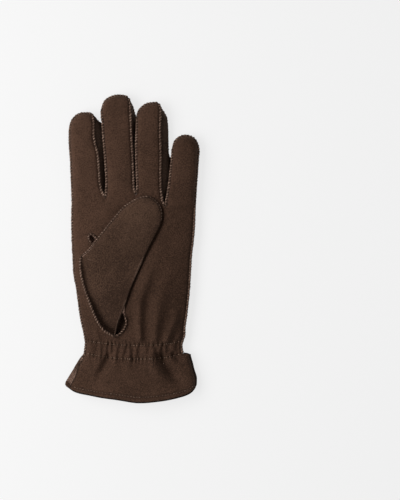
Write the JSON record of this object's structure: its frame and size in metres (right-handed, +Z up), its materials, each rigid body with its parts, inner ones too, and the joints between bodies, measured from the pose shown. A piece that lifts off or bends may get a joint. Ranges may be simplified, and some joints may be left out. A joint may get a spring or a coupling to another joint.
{
  "type": "suede glove",
  "caption": "Suede dress glove for the left hand, lying palm up with the thumb folded in, gathered at the wrist, with a flared cuff.",
  "frame": {"origin": "centre of the glove's outline, on the surface that its back rests on", "axes": "+Y along the fingers, +X towards the little finger, +Z up through the palm"},
  "size_m": [0.1169, 0.2686, 0.0222],
  "materials": {
    "palm_suede": "matt brown suede, napped, with lighter raw edges at the seams",
    "back_suede": "matt brown suede, napped, with lighter raw edges at the seams",
    "fourchette_suede": "matt brown suede, napped, with lighter raw edges at the seams",
    "thumb_suede": "matt brown suede, napped, with lighter raw edges at the seams",
    "quirk_suede": "matt brown suede, napped, with lighter raw edges at the seams"
  },
  "bodies": {
    "root": {"palm_panel": "palm_suede", "back_panel": "back_suede", "fourchette_index_middle": "fourchette_suede", "fourchette_middle_ring": "fourchette_suede", "fourchette_ring_little": "fourchette_suede", "thumb": "thumb_suede", "thumb_quirk": "quirk_suede"}
  },
  "joints": []
}
